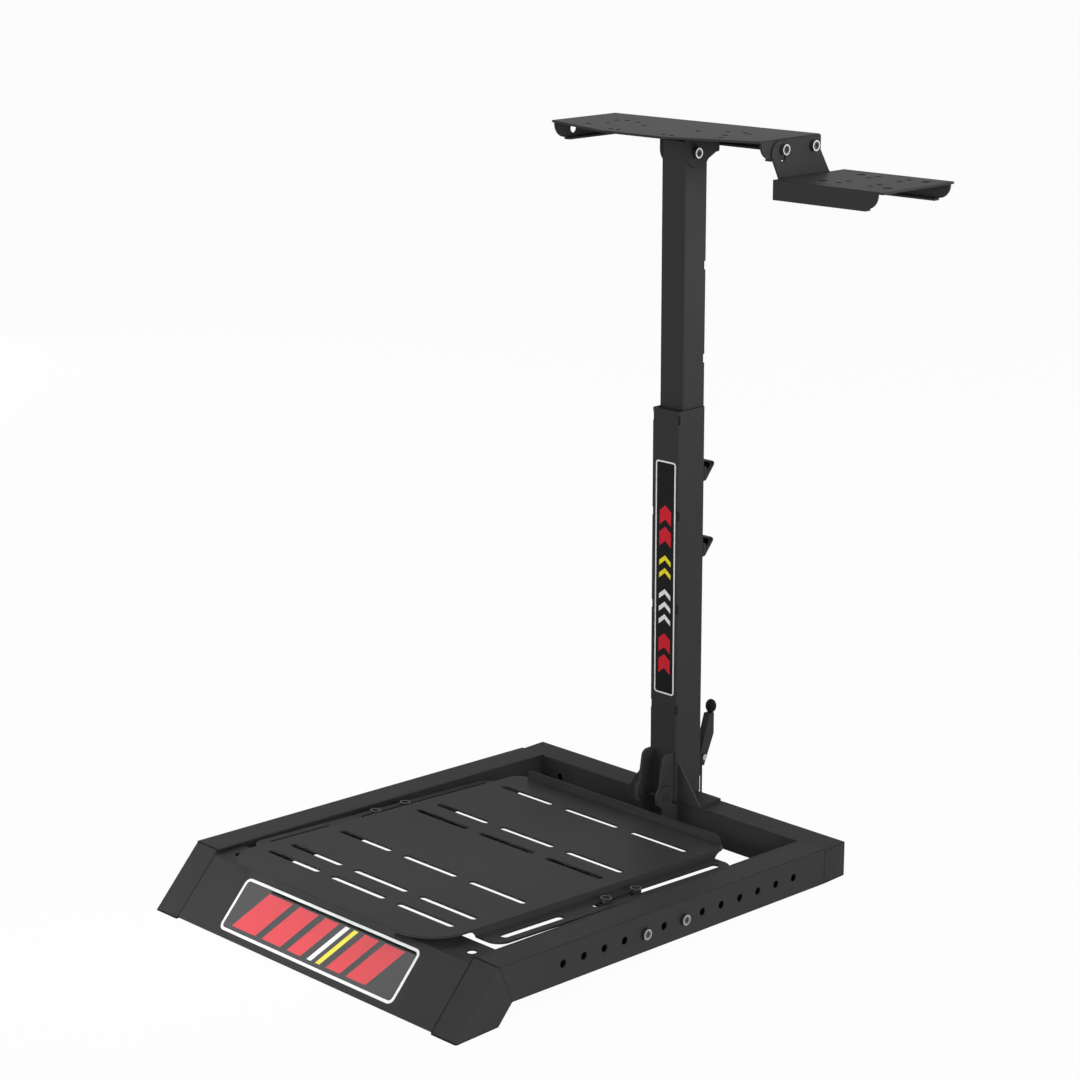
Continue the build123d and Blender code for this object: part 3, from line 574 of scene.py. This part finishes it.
def latchPins():
    bm = bmesh.new()
    head, seat, chamfer = latchPin["head"], latchPin["seat"], latchPin["chamfer"]
    top = seat + latchPin["rise"]
    half = [(0, top), (latchPin["boss"], top), (latchPin["bossFoot"], top - latchPin["bossHeight"]),
            (head - chamfer, top - latchPin["crown"]), (head, top - chamfer), (head, seat),
            (latchPin["shank"], seat)]
    verts = lathe(bm, half + [(radius, -height) for radius, height in reversed(half)])
    bmesh.ops.transform(bm, matrix=facing(0, latchPin["y"], latchPin["z"], "+X"), verts=verts)
    newPiece("latchPin", bm, "post", [satinZinc], ["latch_pin"])


railBolts()
deckBolts()
tiltBolts()
shifterBolts()
hingePins()
latchPins()
print("bolts and pins made")

# knobs, grip, caps, lips and feet

knob = dict(heights=(404.5, 512.8), face=43, thickness=10, hollow=8.5, wall=0.9, soft=0.6, corner=4,
            radius=23, drop=1.2, dish=(2.2, 0.8), hub=8, hubChamfer=1, overlap=0.2, back=30, screw=4,
            tip=25.7, tipChamfer=0.6)


def clampKnobs():
    hub, screw, chamfer = knob["hub"], knob["screw"], knob["tipChamfer"]
    seat, low, end = knob["hollow"] + knob["overlap"], knob["back"] - knob["face"], knob["tip"] - knob["face"]
    stem = [(0, seat), (hub, seat), (hub, low + knob["hubChamfer"]), (hub - knob["hubChamfer"], low),
            (screw, low), (screw, end + chamfer), (screw - chamfer, end), (0, end)]
    dishIn, dishDeep = knob["dish"]
    for name, node, z in (("lowerKnob", "lower_clamp_knob", knob["heights"][0]),
                          ("upperKnob", "upper_clamp_knob", knob["heights"][1])):
        bm = bmesh.new()
        grip = bmesh.ops.create_circle(bm, segments=3, radius=knob["radius"] * mm, cap_ends=True)
        soften(bm, grip["verts"], knob["corner"] * math.sqrt(3), 8, affect="VERTICES")
        pullOut(bm, bm.faces[:], z=knob["thickness"])
        rims = [edge for face in bm.faces if len(face.verts) > 4 for edge in face.edges]
        soften(bm, rims, knob["soft"], 3)
        bmesh.ops.recalc_face_normals(bm, faces=bm.faces[:])
        outer = max(bm.faces, key=lambda face: face.calc_center_median().z)
        bmesh.ops.inset_region(bm, faces=[outer], thickness=dishIn * mm, depth=-dishDeep * mm)
        inner = min(bm.faces, key=lambda face: face.calc_center_median().z)
        bmesh.ops.inset_region(bm, faces=[inner], thickness=knob["wall"] * mm, depth=-knob["hollow"] * mm)
        bmesh.ops.translate(bm, verts=bm.verts[:], vec=(0, knob["drop"] * mm, 0))
        lathe(bm, stem)
        bmesh.ops.transform(bm, matrix=facing(0, knob["face"], z, "+Y"), verts=bm.verts[:])
        newPiece(name, bm, "post", [plastic], [node])


egg = dict(y=72.7, z=159.9, across=15.6, tall=20, parting=0.992)


def latchGrip():
    bm = bmesh.new()
    bmesh.ops.create_uvsphere(bm, u_segments=40, v_segments=28, radius=1)
    across, tall = egg["across"] / 2 * mm, egg["tall"] / 2 * mm
    bmesh.ops.scale(bm, vec=(across, across, tall), verts=bm.verts[:])
    belt = [edge for edge in bm.edges if all(abs(vert.co.x) < pieceWeld for vert in edge.verts)]
    for vert in {vert for edge in belt for vert in edge.verts}:
        vert.co *= egg["parting"]  # the mould's parting line
    bmesh.ops.translate(bm, verts=bm.verts[:], vec=(0, egg["y"] * mm, egg["z"] * mm))
    newPiece("latchGrip", bm, "latch", [plastic], ["latch_ball"], smoothAngle=60)


cap = dict(end=285, thickness=3, halfDepth=20, low=1.5, high=46.5, soft=0.4)


def crossbarCaps():
    bm = bmesh.new()
    middle = (cap["low"] + cap["high"]) / 2
    for side, axis in ((1, "+X"), (-1, "-X")):
        start = set(bm.verts)
        sheet = flatSheet(bm, cap["high"] - cap["low"], 2 * cap["halfDepth"])
        top = pullOut(bm, sheet[0].link_faces, z=cap["thickness"])
        soften(bm, list(faceOn(top).edges), cap["soft"], 2)
        place = facing(side * (cap["end"] - cap["thickness"]), 0, middle, axis)
        bmesh.ops.transform(bm, matrix=place, verts=addedSince(bm, start))
    newPiece("crossbarCaps", bm, "base", [coat], ["crossbar_caps"])


lip = dict(wide=3.7, deep=2, soft=0.5, inner=245, rear=-20.2, front=-626, pitch=2.4, tall=50, railStart=-20)


def railLips():
    bm = bmesh.new()
    slope = math.radians(lip["pitch"])
    length = (lip["rear"] - lip["front"]) / math.cos(slope)
    middle = (lip["rear"] + lip["front"]) / 2
    rise = (lip["railStart"] - middle) * math.tan(slope) + lip["tall"] / math.cos(slope)
    for side in (1, -1):
        start = set(bm.verts)
        sheet = flatSheet(bm, lip["wide"], length)
        pullOut(bm, sheet[0].link_faces, z=-lip["deep"])
        around = {edge for vert in addedSince(bm, start) for edge in vert.link_edges}
        free = [edge for edge in around if all(vert.co.x * side < 0 for vert in edge.verts)
                and abs(edge.verts[0].co.z - edge.verts[1].co.z) < tiny]
        soften(bm, free, lip["soft"], 3)
        across = side * (lip["inner"] - lip["wide"] / 2)
        place = Matrix.Translation((across * mm, middle * mm, rise * mm)) @ rotation(-lip["pitch"], "X")
        bmesh.ops.transform(bm, matrix=place, verts=addedSince(bm, start))
    newPiece("railLips", bm, "base", [tubeCoat])


# seam, seamDeep, seamProud and seamStop size the thin strips of painted shadow along the foot seams
feet = dict(corners=((-626, 75.38), (-697.92, 0), (-628.9, 0), (-605.5, 24.5)), inner=241.3, outer=285,
            round=3, groove=0.8, wall=2.5, recess=1.2, proud=0.15, slope=46.3, fold=24, seam=1.4,
            seamDeep=0.4, seamProud=0.05, seamStop=0.02)


# a thin near-black strip just proud of the foot: painted shadow along a seam
def paintedShadowStrip(bm, start, end, lean):
    before = set(bm.verts)
    run = end - start
    sheet = flatSheet(bm, run.length / mm, feet["seam"])
    pullOut(bm, sheet[0].link_faces, z=-feet["seamDeep"])
    strip = addedSince(bm, before)
    for face in {face for vert in strip for face in vert.link_faces}:
        face.material_index = 1
    up = Vector((0, -math.sin(lean), math.cos(lean)))
    along = run.normalized()
    turn = Matrix((along, up.cross(along), up)).transposed().to_4x4()
    middle = (start + end) / 2 + up * feet["seamProud"] * mm
    bmesh.ops.transform(bm, matrix=Matrix.Translation(middle) @ turn, verts=strip)


def mitredFeet():
    tip = math.radians(feet["slope"])
    forward = -math.sin(tip) * feet["proud"] * mm
    slopeEnds = {round(y) for y, z in feet["corners"][:2]}
    halfway = (feet["inner"] + feet["outer"]) / 2 * mm
    for side, name, node in ((1, "rightFoot", "right_foot"), (-1, "leftFoot", "left_foot")):
        bm = bmesh.new()
        inner, outer = side * feet["inner"] * mm, side * (feet["outer"] - feet["round"]) * mm
        verts = [bm.verts.new((inner, y * mm, z * mm)) for y, z in feet["corners"]]
        pullOut(bm, [bm.faces.new(verts)], x=side * (feet["outer"] - feet["inner"]))
        bmesh.ops.recalc_face_normals(bm, faces=bm.faces[:])
        ground = [face for face in bm.faces if all(vert.co.z < tiny for vert in face.verts)]
        bmesh.ops.inset_region(bm, faces=ground, thickness=feet["wall"] * mm, depth=-feet["recess"] * mm)
        front = [edge for edge in bm.edges if abs(edge.verts[0].co.x - edge.verts[1].co.x) < tiny
                 and {round(vert.co.y / mm) for vert in edge.verts} == slopeEnds]
        seam = [edge for edge in front if abs(edge.verts[0].co.x) < halfway]
        soften(bm, [edge for edge in front if edge not in seam], feet["round"], 5)
        soften(bm, seam, feet["groove"], 2)
        bmesh.ops.translate(bm, verts=bm.verts[:], vec=(0, forward, 0))
        top, toe = [Vector((inner, y * mm + forward, z * mm)) for y, z in feet["corners"][:2]]
        # painted shadow strips along the seam with the panel and along the mitre with the rail
        paintedShadowStrip(bm, top, toe.lerp(top, feet["seamStop"]), tip)
        paintedShadowStrip(bm, top, Vector((outer, top.y, top.z)), math.radians(feet["fold"]))
        newPiece(name, bm, "base", [tubeCoat, seamPaintedShadow], [node], smoothAngle=30)


clampKnobs()
latchGrip()
crossbarCaps()
railLips()
mitredFeet()
print("knobs, grip, caps, lips and feet made")

# stickers

red, white, yellow = (0.62, 0.02, 0.035, 1), (0.82, 0.82, 0.8, 1), (0.85, 0.72, 0.03, 1)
printLook = dict(coatRoughness=0.03, grainScale=1800, cloudScale=18)


def printFinish(spec):
    material, shaders, links, skin = newSkin(spec["printName"], spec["specular"])
    skin.inputs["Coat Weight"].default_value = spec["gloss"]
    skin.inputs["Coat Roughness"].default_value = printLook["coatRoughness"]
    layout = shaders.new("ShaderNodeUVMap")
    layout.uv_map = "printLayout"
    split = shaders.new("ShaderNodeSeparateXYZ")
    links.new(layout.outputs["UV"], split.inputs[0])
    across, along = split.outputs["Y"], split.outputs["X"]
    lean = mathNode(shaders, links, "ABSOLUTE", across, 0) if spec["folded"] else across
    leaned = mathNode(shaders, links, "MULTIPLY", lean, spec["slant"])
    run = mathNode(shaders, links, "ADD", along, leaned)
    inside = placeGroup(shaders, bar, Middle=0, Width=spec["barReach"])
    links.new(across, inside.inputs["Along"])
    spots = placeGroup(shaders, grain, Grain_Scale=printLook["grainScale"],
                       Cloud_Scale=printLook["cloudScale"])
    color = blend(shaders, links, spots.outputs["Cloud"], spec["field"], spec["fieldLight"])
    for middle, width, ink in spec["bars"]:
        stripe = placeGroup(shaders, bar, Middle=middle, Width=width)
        links.new(run, stripe.inputs["Along"])
        mask = mathNode(shaders, links, "MULTIPLY", stripe.outputs["Mask"], inside.outputs["Mask"])
        color = blend(shaders, links, mask, color, ink)
    links.new(color, skin.inputs["Base Color"])
    links.new(spread(shaders, links, spots.outputs["Grain"], *spec["roughness"]), skin.inputs["Roughness"])
    return material


def sticker(spec, place, body):
    bm = bmesh.new()
    flatSheet(bm, spec["length"], spec["width"])
    soften(bm, bm.verts[:], spec["corner"], 8, affect="VERTICES")
    upper = faceOn(pullOut(bm, bm.faces[:], z=spec["thickness"]))
    bmesh.ops.inset_region(bm, faces=[upper], thickness=spec["border"] * mm, use_even_offset=True)
    upper.material_index = 1
    layout = bm.loops.layers.uv.new("printLayout")
    for face in bm.faces:
        for loop in face.loops:
            loop[layout].uv = loop.vert.co.xy
    bmesh.ops.transform(bm, matrix=place, verts=bm.verts[:])
    newPiece(spec["name"], bm, body, [whiteVinyl, printFinish(spec)])


panelSticker = dict(name="panelSticker", length=328, width=74.7, corner=9, border=3.8, thickness=0.3,
                    middleZ=35.7, toe=-698.04, slope=46.3, printName="panelPrint",
                    field=(0.012, 0.012, 0.013, 1), fieldLight=(0.02, 0.02, 0.021, 1), slant=-0.55,
                    folded=False, barReach=0.056, roughness=(0.06, 0.1), specular=0.5, gloss=1.0,
                    bars=((-0.106, 0.046, red), (-0.052, 0.036, red), (-0.008, 0.026, red),
                          (0.021, 0.008, white), (0.037, 0.008, yellow), (0.066, 0.026, red),
                          (0.108, 0.036, red)))
postSticker = dict(name="postSticker", length=331.4, width=36, corner=4.5, border=2.1, thickness=0.3,
                   middleX=1, middleZ=368.3, face=-28.2, printName="postPrint",
                   field=(0.008, 0.008, 0.009, 1), fieldLight=(0.013, 0.013, 0.014, 1), slant=0.8,
                   folded=True, barReach=0.021, roughness=(0.3, 0.4), specular=0.06, gloss=0,
                   bars=((-0.118, 0.020, red), (-0.088, 0.020, red), (-0.054, 0.007, white),
                         (-0.036, 0.007, white), (-0.018, 0.007, white), (0.012, 0.007, yellow),
                         (0.030, 0.007, yellow), (0.064, 0.020, red), (0.094, 0.020, red)))


def addStickers():
    y = panelSticker["toe"] + panelSticker["middleZ"] / math.tan(math.radians(panelSticker["slope"]))
    onPanel = Matrix.Translation((0, y * mm, panelSticker["middleZ"] * mm))
    sticker(panelSticker, onPanel @ rotation(panelSticker["slope"], "X"), "base")
    onPost = Matrix.Translation((postSticker["middleX"] * mm, postSticker["face"] * mm,
                                 postSticker["middleZ"] * mm))
    sticker(postSticker, onPost @ rotation(90, "X") @ rotation(90, "Z"), "post")


addStickers()
print("stickers made")
